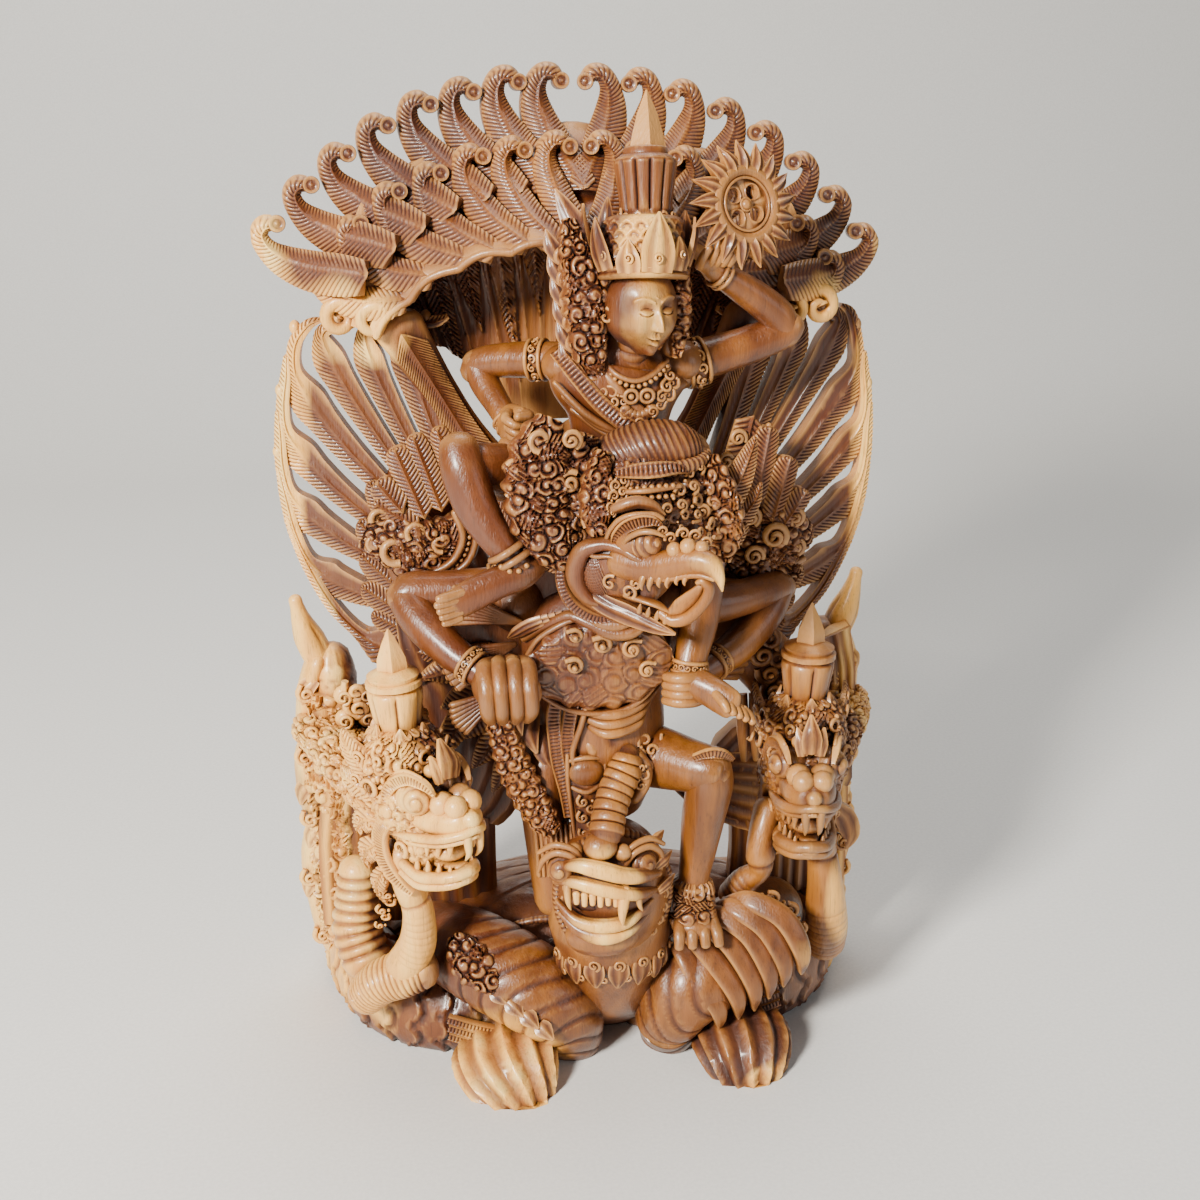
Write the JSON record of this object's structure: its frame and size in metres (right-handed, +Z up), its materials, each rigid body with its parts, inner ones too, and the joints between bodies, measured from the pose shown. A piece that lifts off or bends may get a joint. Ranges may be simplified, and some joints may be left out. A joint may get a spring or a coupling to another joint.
{
  "type": "carved wooden vishnu on garuda figure",
  "caption": "Balinese wood carving of Vishnu riding Garuda under a fan of curled tail feathers, with naga serpents and a turtle base; free-standing ornament.",
  "frame": {"origin": "on the floor under the middle of the bounding box", "axes": "+Z up, -Y the side the figures face, X across the spread wings"},
  "size_m": [0.3757, 0.2412, 0.5942],
  "materials": {
    "carved_wood": "satin varnish on red-brown heartwood with cream sapwood"
  },
  "bodies": {
    "root": {"vishnu_on_garuda_carving": "carved_wood"}
  },
  "joints": []
}
